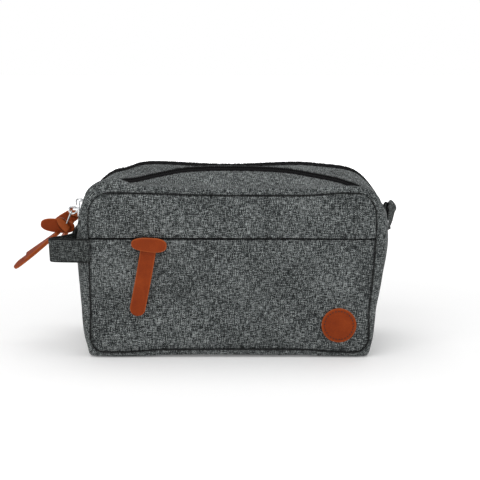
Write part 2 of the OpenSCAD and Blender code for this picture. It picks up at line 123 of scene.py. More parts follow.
def settle(p):
    """How the filled cloth shell sags, bulges and narrows. All cloth pieces share it, so seams stay shut.

    Bare numbers are places in metres; amounts are in millimetres and stand before MM.
    """
    x, y, z = p
    right = x > 0
    side = 1 if right else -1
    wide = abs(x) / HALF
    deep = smooth(y, -0.05, -0.02)
    # narrower towards the bottom and at both faces, mostly on the right
    low = clamp((0.094 - z) / 0.07, 0, 1.25)
    taper = 0.052 + 0.046 * deep if right else 0.006 + 0.03 * deep
    x *= 1 - taper * low ** 1.4
    face = 1 - smooth(BACK - abs(y), 0.001, 0.03)
    x -= side * (2.6 if right else 1.2) * MM * face * wide ** 2 * smooth(z, 0.012, 0.04)
    # side walls belly out between the rims
    belly = hump(y, -0.048, -0.012, 0.022, 0.05) * hump(z, 0.008, 0.045, 0.082, 0.104)
    x += side * (2.4 if right else 4.4) * MM * belly * smooth(abs(p[0]), 0.102, 0.119)
    # the rim is slimmer low down, and its lower corners are round
    outer = smooth(abs(p[0]) - HALF, 0, RIM)
    x -= side * (3.0 if right else 1.3) * MM * outer * (1 - smooth(z, 0.02, 0.075))
    x -= side * (2.2 if right else 4.0) * MM * outer * (1 - smooth(z, 0.004, 0.034))
    # the upper corners are rounder behind the front rim
    corner = smooth(z, 0.1, 0.13) * smooth(abs(p[0]), 0.084, 0.116) * deep
    x -= side * (3.6 * corner + 2.4 * outer * smooth(z, 0.104, 0.122) * (1 - deep)) * MM
    z -= 2.4 * MM * corner
    # the top is arched: its front corners droop, and the rear zip runs along the crest
    high = smooth(p[2], 0.108, 0.136)
    at_front = hump(y, -0.051, -0.02, -0.012, 0.028)
    at_rear = hump(y, -0.012, 0.028, 0.033, 0.053)
    z += high * (along(p[0], FRONT_ARCH) * at_front + along(p[0], REAR_ARCH) * at_rear)
    left_end = smooth(-p[0], 0.072, 0.09)
    z += high * 2.2 * MM * left_end * hump(y, -0.05, -0.042, -0.034, -0.022)
    z -= high * (4.0 * MM * (1 - left_end) * hump(y, -0.0525, -0.045, -0.04, -0.018)
                 + 1.5 * MM * hump(y, 0.036, 0.042, 0.045, 0.053))
    # each zip stands up against the cloth behind it
    z += high * 3.0 * MM * hump(y, FRONT_ZIP - 4 * MM, FRONT_ZIP + 3.4 * MM, FRONT_ZIP + 5 * MM, FRONT_ZIP + 22 * MM)
    z += high * 1.6 * MM * hump(y, REAR_ZIP - 4 * MM, REAR_ZIP + 3.0 * MM, REAR_ZIP + 4 * MM, REAR_ZIP + 18 * MM)
    # the front top seam dips between the corners
    dip = hump(x, -0.09, 0.0, 0.05, 0.085)
    z -= 2.0 * MM * smooth(p[2], 0.116, 0.13) * (1 - smooth(y, -0.05, -0.03)) * dip
    # the bottom seam lies low, lowest at the corners, and the rim lifts between them
    seam = hump(z, 0.0005, 0.005, 0.012, 0.04)
    z -= (3.9 + 1.4 * hump(abs(x), 0.05, 0.085, 0.1, 0.13)) * MM * seam
    if z < 0.02:
        lift = (1 - smooth(z, 0.004, 0.02)) * (1 - smooth(abs(x), 0.035, 0.1))
        z += 0.9 * MM * lift * smooth(abs(y), 0.03, 0.052)
    # the underside lies flat on the floor
    return Vector((x, y, max(z, 0.12 * p[2])))


def ripple(p, normal, depth, scale=22, seed=0.0):
    """Soft unevenness along the normal; it never goes outward."""
    n = wander(p, scale, seed) * 0.6 + wander(p, scale * 2.3, seed + 5) * 0.4
    return p - normal * depth * (0.5 + n)


# ---------------------------------------------------------------- meshes
def add_mesh(name, verts, faces, uvs=None, edges=None):
    mesh = bpy.data.meshes.new(name)
    mesh.from_pydata([tuple(v) for v in verts], [], faces)
    if uvs:
        layer = mesh.uv_layers.new(name="cloth")
        for loop in mesh.loops:
            layer.data[loop.index].uv = uvs[loop.vertex_index]
    # 'edge' paints shade on cloth, darkening it where it folds into a seam and along a ribbon's rounded edges; on
    # leather it lightens the burnished edges
    attr = mesh.attributes.new("edge", "FLOAT", "POINT")
    if edges:
        for i, e in enumerate(edges):
            attr.data[i].value = e
    for f in mesh.polygons:
        f.use_smooth = True
    mesh.update()
    obj = bpy.data.objects.new(name, mesh)
    bpy.context.collection.objects.link(obj)
    return obj


def apply_modifiers(obj):
    deps = bpy.context.evaluated_depsgraph_get()
    mesh = bpy.data.meshes.new_from_object(obj.evaluated_get(deps))
    obj.modifiers.clear()
    obj.data = mesh


def thicken(obj, t):
    """Cloth thickness, added behind the face."""
    m = obj.modifiers.new("t", "SOLIDIFY")
    m.thickness = t
    m.offset = -1
    m.use_rim = True
    m.use_even_offset = False
    apply_modifiers(obj)


def grid(name, rows, uvs, flip=False, edges=None):
    """A sheet from rows of points."""
    n = len(rows[0])
    verts = [p for row in rows for p in row]
    flat = [uv for row in uvs for uv in row]
    faces = []
    for r in range(len(rows) - 1):
        for c in range(n - 1):
            a = r * n + c
            f = (a, a + 1, a + n + 1, a + n)
            faces.append(f[::-1] if flip else f)
    return add_mesh(name, verts, faces, flat, edges)


def tube_faces(rings, m):
    """Faces between rings of m points."""
    pairs = [(i * m + k, i * m + (k + 1) % m) for i in range(rings - 1) for k in range(m)]
    return [(a, b, b + m, a + m) for a, b in pairs]


def steps(a, b, size):
    """Evenly spaced values from a to b, about size apart."""
    n = max(1, round(abs(b - a) / size))
    return [a + (b - a) * i / n for i in range(n + 1)]


def stations(top, low=None, size=2.6 * MM):
    """Points of the seam line with their outward normals, from the left side round to the right.

    It runs over the top or under the bottom, between the heights low at both sides, which is the fold by default.
    """
    z_end = FOLD if low is None else low
    if top:
        r, cz, edge = R_TOP, TOP - R_TOP, TOP
        turn = 1
    else:
        r, cz, edge = R_BOTTOM, RIM + R_BOTTOM, RIM
        turn = -1
    out = []
    cx = HALF - r
    for z in steps(z_end, cz, size)[:-1]:
        out.append((Vector((-HALF, 0, z)), Vector((-1, 0, 0))))
    for a in steps(0, 90, 7.5)[:-1]:
        n = Vector((-math.cos(math.radians(a)), 0, turn * math.sin(math.radians(a))))
        out.append((Vector((-cx, 0, cz)) + n * r, n))
    for x in steps(-cx, cx, size):
        out.append((Vector((x, 0, edge)), Vector((0, 0, turn))))
    right = [(Vector((-b.x, 0, b.z)), Vector((-n.x, 0, n.z))) for b, n in out if b.x < -cx + 1e-9]
    return out + right[-2::-1] if out[-1][0].x > 0 else out


def path_length(path, u):
    """Lengths along a path of (point, normal), measured u out from it."""
    total, out, last = 0.0, [], None
    for b, n in path:
        p = b + n * u
        if last is not None:
            total += (p - last).length
        out.append(total)
        last = p
    return out


# the rim's edge beside a panel, as (out from the seam line, in from the face): it rolls out of the seam's crease
LIP = [(-0.5, 3.4), (-0.3, 2.3), (0.0, 1.4), (0.45, 0.7), (1.1, 0.4), (2.0, 0.4), (3.0, 0.5), (3.8, 0.8)]


def rim_section(inset=0.0, y0=FRONT, y1=BACK, tuck=True):
    """The gusset's section as (distance out from the seam line, y) from front to back, tucked into the seams."""
    r = RIM - inset
    turn = 30 if tuck else 4                          # where the roll starts, in degrees from the face
    pts = []
    if y0 <= FRONT + 1e-9:
        if tuck:
            pts += [(u * MM, FRONT + y * MM) for u, y in LIP]
        for a in steps(turn, 90, 7.5):
            a = math.radians(a)
            pts.append((r * math.sin(a), FRONT + RIM - r * math.cos(a)))
        start = FRONT + RIM
    else:
        pts.append((r, y0))
        start = y0
    if y1 >= BACK - 1e-9:
        pts += [(r, y) for y in steps(start, BACK - RIM, 2.8 * MM)[1:]]
        for a in steps(90, turn, 7.5)[1:]:
            a = math.radians(a)
            pts.append((r * math.sin(a), BACK - RIM + r * math.cos(a)))
        if tuck:
            pts += [(u * MM, BACK - y * MM) for u, y in LIP[::-1]]
    else:
        pts += [(r, y) for y in steps(start, y1, 2.8 * MM)[1:]]
    return pts


def sweep(name, path, section, thick, depth=0.0, seed=0.0, edge_roll=(), seams=(), lift=None):
    """Cloth swept round the seam line.

    edge_roll turns an end of the section in, and seams paints shade on an end, darkening the cloth where it folds into
    the seam; 0 is the section's start and 1 its end.
    lift(b) is how far the cloth stands out at the point b of the seam line.
    """
    lengths = path_length(path, 0.6 * RIM)
    across, total = [0.0], 0.0
    for a, b in zip(section, section[1:]):
        total += math.hypot(b[0] - a[0], b[1] - a[1])
        across.append(total)
    rows, uvs, dark = [], [], []
    for (b, n), s in zip(path, lengths):
        row, uv = [], []
        for (u, y), t in zip(section, across):
            roll = -lift(b) if lift else 0.0
            # painted shade: the cloth goes dark within about 3 mm of the ends named in seams, where it folds into the
            # seam
            near = min([t if end == 0 else total - t for end in seams], default=1.0)
            dark.append(1 - smooth(near, 2.4 * MM, 3.4 * MM))
            for end, amount in edge_roll:
                d = t if end == 0 else total - t
                roll += amount * math.exp(-((d / (1.1 * MM)) ** 2))
            p = b + n * (u - roll)
            p.y = y
            p = settle(p)
            if depth:
                keep = clamp(min(t, total - t) / (6 * MM))
                p = ripple(p, n, depth * keep, seed=seed)
            row.append(p)
            uv.append((s, t))
        rows.append(row)
        uvs.append(uv)
    obj = grid(name, rows, uvs, flip=True, edges=dark)
    thicken(obj, thick)
    return obj


def half_width(z, g):
    """Half the width of the panels' outline at height z, grown by g."""
    w = HALF + g
    for r, cz, up in ((R_TOP + g, TOP - R_TOP, True), (R_BOTTOM + g, RIM + R_BOTTOM, False)):
        d = z - cz if up else cz - z
        if d > 0:
            w -= r - math.sqrt(max(0.0, r * r - min(d, r) ** 2))
    return w


def panel(name, y, facing, g, z0, z1, thick, depth=0.0, puff=0.0, tuck=0.0, seed=0.0, edge=None, hem=0.0):
    """A panel of cloth in the outline grown by g, from z0 to z1; facing is -1 to the front and 1 to the back.

    puff bulges it, tuck turns it into the seam round it and paints shade there, darkening the cloth where it folds in,
    edge(x) lifts its lower edge and hem steps that edge in.
    """
    zs = steps(z0, z1, 2.4 * MM)
    for limit, sign in ((RIM - g, 1), (TOP + g, -1)):
        if abs((z0 if sign > 0 else z1) - limit) < 1e-6:
            zs += [limit + sign * d * MM for d in (0.15, 0.4, 0.8, 1.2, 1.7)]
    zs = sorted(set(round(z, 6) for z in zs))
    cols = steps(-1, 1, 1 / 46)
    for d in (0.003, 0.006, 0.01, 0.015, 0.024, 0.034):
        cols += [1 - d, d - 1]
    cols.sort()
    rows, uvs, dark = [], [], []
    for z in zs:
        w = half_width(z, g)
        row, uv = [], []
        for c in cols:
            x = c * w
            inside = min(w - abs(x), TOP + g - z, z - (RIM - g))
            low = clamp(inside / (4.2 * MM))
            # painted shade: the cloth goes dark within about 1.4 mm of the outline, and 2.3 mm of the top, where it
            # folds into the seam
            crease_shade = max(1 - smooth(inside, 0.6 * MM, 1.4 * MM), 1 - smooth(TOP + g - z, 1.3 * MM, 2.3 * MM))
            dark.append(crease_shade if tuck else 0.0)
            base = Vector((x, y, z))
            if edge is not None:
                base.z += edge(x) * (1 - smooth(z, z0, z0 + 14 * MM))
            out = puff * smooth(inside, 0, 0.02) - tuck * (1 - low) ** 2
            if hem:
                out -= hem * (1 - smooth(z, z0, z0 + 1.2 * MM))
            p = settle(base)
            p.y += facing * out
            if depth:
                p = ripple(p, Vector((0, facing, 0)), depth * smooth(inside, 0, 0.01), seed=seed)
            row.append(p)
            uv.append((x, z))
        rows.append(row)
        uvs.append(uv)
    obj = grid(name, rows, uvs, flip=facing > 0, edges=dark)
    thicken(obj, thick)
    return obj


def ribbon(name, centre, across, half, thick, trim=0.3):
    """A strap along centre points. across, half (its half width) and thick are one value, or one for each point."""
    n = len(centre)
    across = across if isinstance(across, list) else [across] * n
    half = half if isinstance(half, list) else [half] * n
    thick = thick if isinstance(thick, list) else [thick] * n
    verts, uvs, edges, ring = [], [], [], []
    s = 0.0
    rounds = [(0, 1), (0.29, 0.29), (1, 0)]
    for k, (ca, cb) in enumerate(((-1, 1), (1, 1), (1, -1), (-1, -1))):
        ring += [(ca, cb, da, db) for da, db in (rounds if k % 2 == 0 else rounds[::-1])]
        if k in (0, 2):
            ring += [(ca * q, cb) for q in (0.86, 0.45, 0.0, -0.45, -0.86)]
    m = len(ring)
    for i, c in enumerate(centre):
        a, b = centre[max(i - 1, 0)], centre[min(i + 1, n - 1)]
        tangent = (b - a).normalized()
        side = (across[i] - tangent * across[i].dot(tangent)).normalized()
        normal = side.cross(tangent).normalized()
        if i:
            s += (c - centre[i - 1]).length
        t = thick[i] / 2
        r = min(trim * thick[i], half[i] * 0.9)
        for q in ring:
            if len(q) == 2:
                pa, pb, e = q[0] * half[i], q[1] * t, 0.0
            else:
                pa = q[0] * (half[i] - r * q[2])
                pb = q[1] * (t - r * q[3])
                e = 1.0
            verts.append(c + side * pa + normal * pb)
            uvs.append((s, pa + q[1] * 0.02))
            edges.append(e)
    faces = tube_faces(n, m)
    faces.append(tuple(range(m - 1, -1, -1)))
    faces.append(tuple((n - 1) * m + k for k in range(m)))
    obj = add_mesh(name, verts, faces, uvs, edges)
    fix_normals(obj)
    return obj


def fix_normals(obj, merge=0.0):
    """Turn all faces outward, with points closer than merge made one first."""
    bm = bmesh.new()
    bm.from_mesh(obj.data)
    if merge:
        bmesh.ops.remove_doubles(bm, verts=bm.verts, dist=merge)
    bmesh.ops.recalc_face_normals(bm, faces=bm.faces)
    bm.to_mesh(obj.data)
    bm.free()


def lozenge(name, length, width, thick, dome, place, groove=None, bevel=0.5 * MM, square=1.0, lean=0.0):
    """A rounded plate in local X and Z, its face towards local -Y, with a soft dome."""
    straight = (length - width) / 2
    r = width / 2
    profile = [(r - 0.6 * bevel, thick / 2), (r - 0.15 * bevel, thick / 2 - 0.3 * bevel),
               (r, 0.0), (r - 0.15 * bevel, -thick / 2 + 0.3 * bevel), (r - 0.7 * bevel, -thick / 2)]
    inner = [0.93, 0.86, 0.78, 0.7, 0.62, 0.54, 0.46, 0.38, 0.3, 0.2, 0.1, 0.0]
    for k in inner:
        y = -thick / 2 - dome * (1 - (k ** 2))
        if groove:
            y += groove[1] * math.exp(-(((k * r - groove[0]) / (0.35 * MM)) ** 2))
        profile.append((k * (r - 0.7 * bevel), y))
    verts, uvs, edges = [], [], []
    n = 48
    for j, (pr, y) in enumerate(profile):
        for i in range(n):
            a = 2 * math.pi * i / n
            cos, sin = (math.copysign(abs(v) ** square, v) for v in (math.cos(a), math.sin(a)))
            px = (straight * min(1.0, pr / (0.3 * r)) + pr) * cos
            pz = pr * sin * (1 + lean * cos)
            verts.append(place @ Vector((px, y, pz)))
            uvs.append((px, pz))
            edges.append(1.0 if 0 < j < 4 else 0.6 if j in (0, 4) else 0.0)
    faces = []
    for j in range(len(profile) - 1):
        for i in range(n):
            a, b = j * n + i, j * n + (i + 1) % n
            faces.append((a, a + n, b + n, b))
    faces.append(tuple(range(n)))
    obj = add_mesh(name, verts, faces, uvs, edges)
    fix_normals(obj, merge=2e-6)
    return obj


def coil(name, path, zip_y, side, u_in, u_out):
    """One half of a zip's coil: a bar ribbed like its loops, whose loops reach the zip's centre in turn."""
    total = 0.0
    dense = []
    for (b0, n0), (b1, n1) in zip(path, path[1:]):
        length = ((b1 + n1 * u_out) - (b0 + n0 * u_out)).length
        k = max(1, round(length / (COIL_PITCH / 4)))
        for i in range(k):
            dense.append((b0.lerp(b1, i / k), n0.lerp(n1, i / k).normalized()))
    dense.append(path[-1])
    section = [(0.25, 0.1), (0.12, 0.75), (0.35, 1.0), (0.75, 1.0), (1.0, 0.6), (1.0, 0.2), (0.7, 0.0)]
    width = 2.8 * MM                                  # from the zip's centre to the loops' outer side
    verts, m = [], len(section)
    phase = 0.5 if side > 0 else 0.0
    last = None
    for b, n in dense:
        p0 = b + n * u_out
        if last is not None:
            total += (p0 - last).length
        last = p0
        wave = 0.5 + 0.5 * math.cos(2 * math.pi * (total / COIL_PITCH + phase))
        for sy, su in section:
            reach = sy * width
            if sy < 0.5:
                reach -= (0.8 * wave - 0.25) * MM * (0.5 - sy) * 2
            u = u_in + (u_out - u_in) * su * (0.72 + 0.28 * wave)
            p = b + n * u
            p.y = zip_y + side * reach
            verts.append(settle(p))
    faces = tube_faces(len(dense), m)
    faces.append(tuple(range(m)))
    faces.append(tuple((len(dense) - 1) * m + k for k in range(m)))
    obj = add_mesh(name, verts, faces)
    fix_normals(obj)
    return obj


def stitches(name, points, length=2.2 * MM, gap=1.1 * MM, r=0.22 * MM):
    """Thread dashes along a line of (point, outward normal)."""
    verts, faces = [], []
    want = 0.0
    total = 0.0
    for (p0, n0), (p1, n1) in zip(points, points[1:]):
        seg = (p1 - p0).length
        while want + length <= total + seg and seg > 0:
            k = max(0, (want - total) / seg)
            d = (p1 - p0).normalized()
            a = p0 + d * (k * seg)
            n = n0.lerp(n1, clamp(k)).normalized()
            side = d.cross(n).normalized()
            base = len(verts)
            for f, s in ((0, 0.3), (0.25, 1.0), (0.75, 1.0), (1, 0.3)):
                c = a + d * (length * f)
                for q in range(6):
                    w = 2 * math.pi * q / 6
                    verts.append(c + side * (r * s * math.cos(w)) + n * (r * s * math.sin(w)))
            faces += [tuple(base + v for v in f) for f in tube_faces(4, 6)]
            faces.append(tuple(base + q for q in range(5, -1, -1)))
            faces.append(tuple(base + 18 + q for q in range(6)))
            want += length + gap
        total += seg
    return add_mesh(name, verts, faces)


# ---------------------------------------------------------------- materials
class Nodes:
    """Short names for making a material's nodes."""

    def __init__(self, name):
        self.mat = bpy.data.materials.new(name)
        self.mat.use_nodes = True
        self.tree = self.mat.node_tree
        self.bsdf = self.tree.nodes["Principled BSDF"]

    def add(self, kind, **values):
        node = self.tree.nodes.new("ShaderNode" + kind)
        for key, value in values.items():
            if hasattr(node, key) and key not in node.inputs:
                setattr(node, key, value)
            else:
                self.put(node, key, value)
        return node

    def put(self, node, key, value):
        if isinstance(value, bpy.types.NodeSocket):
            self.tree.links.new(value, node.inputs[key])
        else:
            node.inputs[key].default_value = value

    def shader(self, **values):
        for key, value in values.items():
            self.put(self.bsdf, key.replace("_", " "), value)

    def math(self, op, a, b=0.5):
        node = self.tree.nodes.new("ShaderNodeMath")
        node.operation = op
        for i, v in enumerate((a, b)):
            if isinstance(v, bpy.types.NodeSocket):
                self.tree.links.new(v, node.inputs[i])
            else:
                node.inputs[i].default_value = v
        return node.outputs[0]

    def scaled(self, vector, scale):
        node = self.tree.nodes.new("ShaderNodeMapping")
        self.tree.links.new(vector, node.inputs["Vector"])
        node.inputs["Scale"].default_value = scale
        return node.outputs[0]

    def noise(self, vector, scale, detail=2.0, rough=0.5):
        node = self.tree.nodes.new("ShaderNodeTexNoise")
        self.tree.links.new(vector, node.inputs["Vector"])
        node.inputs["Scale"].default_value = scale
        node.inputs["Detail"].default_value = detail
        node.inputs["Roughness"].default_value = rough
        return node.outputs["Fac"]

    def ramp(self, fac, stops):
        node = self.tree.nodes.new("ShaderNodeValToRGB")
        self.tree.links.new(fac, node.inputs["Fac"])
        ramp = node.color_ramp
        ramp.elements[0].position, ramp.elements[0].color = stops[0][0], (*stops[0][1], 1)
        ramp.elements[1].position, ramp.elements[1].color = stops[-1][0], (*stops[-1][1], 1)
        for pos, color in stops[1:-1]:
            ramp.elements.new(pos).color = (*color, 1)
        return node.outputs["Color"]

    def mix(self, fac, a, b):
        node = self.tree.nodes.new("ShaderNodeMix")
        node.data_type = "RGBA"
        for key, v in ((0, fac), (6, a), (7, b)):
            if isinstance(v, bpy.types.NodeSocket):
                self.tree.links.new(v, node.inputs[key])
            else:
                node.inputs[key].default_value = v
        return node.outputs[2]

    def bump(self, height, distance, strength=1.0):
        node = self.tree.nodes.new("ShaderNodeBump")
        self.tree.links.new(height, node.inputs["Height"])
        node.inputs["Distance"].default_value = distance
        node.inputs["Strength"].default_value = strength
        self.tree.links.new(node.outputs["Normal"], self.bsdf.inputs["Normal"])


def woven(name, dark, mid, light, thread=0.62 * MM, fleck=1.0, rough=0.9, sheen=0.04):
    """Cloth whose warp and weft threads each change colour along their length."""
    n = Nodes(name)
    uv = n.add("UVMap", uv_map="cloth").outputs["UV"]
    k = 1 / thread
    weft = n.noise(n.scaled(uv, (0.16 * k, 1.1 * k, 1)), 1.0, 1.0, 0.6)
    warp = n.noise(n.scaled(uv, (1.1 * k, 0.16 * k, 1)), 1.0, 1.0, 0.6)
    split = n.add("SeparateXYZ", Vector=n.scaled(uv, (math.pi * k, math.pi * k, 1)))
    over = n.math("MULTIPLY", n.math("SINE", split.outputs["X"]), n.math("SINE", split.outputs["Y"]))
    pick = n.math("ADD", n.math("MULTIPLY", over, 1.6), 0.5)
    pick = n.math("MINIMUM", n.math("MAXIMUM", pick, 0.0), 1.0)
    threads = n.mix(pick, warp, weft)
    fine = n.noise(uv, 0.9 * k, 2.0, 0.7)
    tone = n.mix(0.35, threads, fine)
    spread = n.math("ADD", n.math("MULTIPLY", n.math("SUBTRACT", tone, 0.5), 2.6 * fleck), 0.5)
    cloud = n.noise(uv, 26.0, 3.0, 0.6)
    spread = n.math("ADD", spread, n.math("MULTIPLY", n.math("SUBTRACT", cloud, 0.5), 0.28))
    color = n.ramp(spread, [(0.24, dark), (0.5, mid), (0.8, light)])
    # painted shade: where the 'edge' attribute is set the colour goes almost black, for the shade where the cloth
    # folds into a seam and along a ribbon's rounded edges
    seam = n.add("Attribute", attribute_name="edge").outputs["Fac"]
    color = n.mix(n.math("MULTIPLY", seam, 0.94), color, (0.003, 0.0035, 0.0035, 1))
    n.shader(Base_Color=color, Roughness=rough, Sheen_Weight=sheen, Sheen_Roughness=0.5, Specular_IOR_Level=0.2)
    n.bump(n.math("ADD", n.math("ABSOLUTE", over), n.math("MULTIPLY", tone, 1.2)), 0.25 * MM, 0.55)
    return n.mat


def speckled(name, scale, detail, dark, light, stops=(0.3, 0.7), **shader):
    """A material whose colour varies a little; also gives its nodes and the place they read."""
    n = Nodes(name)
    place = n.add("TexCoord").outputs["Object"]
    color = n.ramp(n.noise(place, scale, detail), [(stops[0], dark), (stops[1], light)])
    n.shader(Base_Color=color, **shader)
    return n, place


def make_materials():
    """The material of each slot, and of the seams' thread."""
    m = {}
    m["cloth"] = woven("heather_cloth", (0.005, 0.006, 0.006), (0.036, 0.041, 0.042), (0.35, 0.375, 0.37),
                       thread=0.74 * MM)
    # painted shade: a darker copy of the heather cloth, about two thirds as bright, standing for the shade on the
    # handle; the end tab wears it too
    m["strap"] = woven("strap_cloth_shaded", (0.004, 0.005, 0.005), (0.025, 0.028, 0.028), (0.17, 0.185, 0.18),
                       thread=0.74 * MM)
    m["lining"] = woven("lining_cloth", (0.012, 0.012, 0.013), (0.035, 0.036, 0.038), (0.08, 0.08, 0.085),
                        thread=0.4 * MM, fleck=0.6, rough=0.6, sheen=0.1)
    m["binding"] = woven("binding_tape", (0.006, 0.006, 0.006), (0.018, 0.018, 0.02), (0.05, 0.05, 0.05),
                         thread=0.5 * MM, fleck=0.6)
    m["zip_tape"] = woven("zip_tape_weave", (0.012, 0.013, 0.014), (0.05, 0.055, 0.056), (0.13, 0.14, 0.14),
                          thread=0.5 * MM, fleck=0.7, sheen=0.0)
    m["coil"] = speckled("nylon_coil", 900, 2, (0.003, 0.003, 0.003), (0.009, 0.009, 0.01), stops=(0.3, 0.8),
                         Roughness=0.6, Specular_IOR_Level=0.06)[0].mat
    n, place = speckled("bright_metal", 120, 2, (0.7, 0.71, 0.72), (0.8, 0.81, 0.82), Metallic=1.0)
    n.shader(Roughness=n.math("ADD", n.math("MULTIPLY", n.noise(place, 500, 3), 0.16), 0.06))
    n.bump(n.noise(place, 700, 2), 0.02 * MM, 0.4)
    m["metal"] = n.mat
    n = Nodes("oiled_leather")
    place = n.add("TexCoord").outputs["Object"]
    tone = n.ramp(n.noise(place, 90, 4, 0.6),
                  [(0.25, (0.17, 0.022, 0.002)), (0.55, (0.235, 0.034, 0.003)), (0.85, (0.3, 0.05, 0.006))])
    pores = n.noise(place, 1500, 4, 0.65)
    tone = n.mix(0.25, tone, n.ramp(pores, [(0.35, (0.12, 0.013, 0.002)), (0.6, (0.3, 0.048, 0.006))]))
    edge = n.add("Attribute", attribute_name="edge").outputs["Fac"]
    tone = n.mix(n.math("MULTIPLY", edge, 0.7), tone, (0.4, 0.09, 0.02, 1))
    rough = n.math("ADD", n.math("MULTIPLY", pores, 0.25), 0.4)
    n.shader(Base_Color=tone, Roughness=rough, Specular_IOR_Level=0.14)
    cells = n.add("TexVoronoi", Vector=place, Scale=1100.0)
    n.bump(n.math("ADD", cells.outputs["Distance"], n.math("MULTIPLY", pores, 0.8)), 0.07 * MM, 0.5)
    m["leather"] = n.mat
    m["thread"] = speckled("waxed_thread", 1500, 2, (0.02, 0.005, 0.002), (0.05, 0.011, 0.004), Roughness=0.7)[0].mat
    m["seam"] = speckled("seam_thread", 1500, 2, (0.02, 0.022, 0.022), (0.06, 0.065, 0.065), Roughness=0.8)[0].mat
    n, place = speckled("board_plastic", 200, 4, (0.02, 0.02, 0.021), (0.045, 0.045, 0.048), Roughness=0.6)
    n.bump(n.noise(place, 800, 3), 0.05 * MM, 0.5)
    m["board"] = n.mat
    return m


MATS = make_materials()


def dress(obj, slot, *nodes, body=None, mat=None):
    """Material, record slot, replaced CAD nodes and the body that obj rides on."""
    obj.data.materials.clear()
    obj.data.materials.append(MATS[mat or slot])
    if nodes:
        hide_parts(*nodes)
    if body:
        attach(obj, body)
    return obj


def on_lid(obj):
    """Bakes obj's placement into its mesh."""
    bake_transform(obj)


# ---------------------------------------------------------------- outer cloth
upper = stations(True, FOLD - 4 * MM)                 # the top strips', ending over the gusset
upper_in = stations(True)                             # the same, ending at the fold
lower = stations(False)                               # the gusset's


def strip_end(b):
    """The top strips' ends lie on the gusset and turn in a little."""
    over = 1 - smooth(b.z, FOLD - 0.5 * MM, FOLD + 3 * MM)
    return 0.8 * MM * over - 1.6 * MM * (1 - smooth(b.z, FOLD - 4 * MM, FOLD - 2.6 * MM))


# painted shade at both ends of the gusset's cloth, where it folds into the seams
obj = sweep("gusset_cloth", lower[::-1], rim_section(), CLOTH, depth=0.8 * MM, seed=1.0, seams=(0, 1))
dress(obj, "cloth", "lower_gusset", body="bag")
obj = sweep("front_strip_cloth", upper, rim_section(y1=FRONT_ZIP - SLOT), CLOTH, depth=0.7 * MM, seed=2.0,
            edge_roll=[(1, 0.5 * MM)], seams=(0,), lift=strip_end)
dress(obj, "cloth", "front_top_strip")
on_lid(obj)
obj = sweep("middle_strip_cloth", upper, rim_section(y0=FRONT_ZIP + SLOT, y1=REAR_ZIP - SLOT), CLOTH,
            depth=0.8 * MM, seed=3.0, edge_roll=[(0, 0.5 * MM), (1, 0.5 * MM)], lift=strip_end)
dress(obj, "cloth", "middle_strip", body="bag")
obj = sweep("rear_strip_cloth", upper, rim_section(y0=REAR_ZIP + SLOT), CLOTH, depth=0.6 * MM, seed=4.0,
            edge_roll=[(0, 0.5 * MM)], seams=(1,), lift=strip_end)
dress(obj, "cloth", "rear_top_strip")
on_lid(obj)


def flap_edge(x):
    """The flap's edge hangs a little lower at the right and waves slightly."""
    sag = 0.5 * MM * hump(x, 0.04, 0.085, 0.09, 0.118)
    return -sag - 0.12 * MM * (1 + math.sin(x * 70)) * smooth(x, -0.05, -0.02)


SEAM_IN = 0.3 * MM                                    # how far an outer panel goes past the seam line
obj = panel("front_upper_cloth", FRONT, -1, SEAM_IN, FLAP - 0.6 * MM, TOP + SEAM_IN, CLOTH, depth=0.9 * MM,
            tuck=1.9 * MM, seed=6.0, edge=flap_edge, hem=0.5 * MM)
dress(obj, "cloth", "pocket_flap", "front_upper_panel")
on_lid(obj)
obj = panel("pocket_cloth", POCKET, -1, SEAM_IN, RIM - SEAM_IN, FLAP - 2.2 * MM, CLOTH, depth=0.7 * MM,
            puff=0.6 * MM, tuck=1.5 * MM, seed=7.0)
dress(obj, "cloth", "pocket_panel", body="bag")
obj = panel("back_cloth", BACK, 1, SEAM_IN, RIM - SEAM_IN, TOP + SEAM_IN, CLOTH, depth=0.9 * MM, tuck=1.9 * MM,
            seed=8.0)
dress(obj, "cloth", "back_lower_panel", "back_upper_panel")
on_lid(obj)

# ---------------------------------------------------------------- inner cloth
WALL_OUT = 5.0 * MM                                   # the inner walls reach this far past the seam line
LINING_IN = 0.6 * MM                                  # the panels' linings end this far inside it
GUSSET_LINING_IN = 3.2 * MM                           # from the gusset's face to its lining
ZIP_CLEAR = 5.6 * MM                                  # from a zip's centre to the linings beside it
pocket_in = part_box("pocket_lining")
obj = panel("pocket_lining_cloth", pocket_in[0][1], -1, -0.5 * MM, RIM + 0.5 * MM, pocket_in[1][2], 0.4 * MM,
            seed=9.0)
dress(obj, "lining", "pocket_lining", body="bag")
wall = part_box("front_wall")
obj = panel("front_wall_cloth", wall[0][1], -1, WALL_OUT, RIM - WALL_OUT, FOLD, CLOTH, seed=10.0)
dress(obj, "cloth", "front_wall", body="bag")
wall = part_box("front_wall_lining")
obj = panel("front_wall_lining_cloth", wall[1][1], 1, WALL_OUT, RIM - WALL_OUT, FOLD, 1.9 * MM, depth=0.8 * MM,
            seed=11.0)
dress(obj, "lining", "front_wall_lining", body="bag")
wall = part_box("divider")
obj = panel("divider_cloth", wall[0][1], -1, WALL_OUT, RIM - WALL_OUT, wall[1][2] - 1 * MM, 2.0 * MM,
            depth=0.5 * MM, seed=12.0)
dress(obj, "lining", "divider", body="bag")
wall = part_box("back_lower_lining")
obj = panel("back_lining_cloth", wall[0][1], -1, -LINING_IN, RIM + LINING_IN, TOP - LINING_IN, 0.5 * MM,
            depth=0.3 * MM, seed=13.0)
dress(obj, "lining", "back_lower_lining", "back_upper_lining")
on_lid(obj)
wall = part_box("front_upper_lining")
obj = panel("front_upper_lining_cloth", wall[1][1], 1, -LINING_IN, FOLD - 4 * MM, TOP - LINING_IN, 0.5 * MM,
            depth=0.3 * MM, seed=14.0)
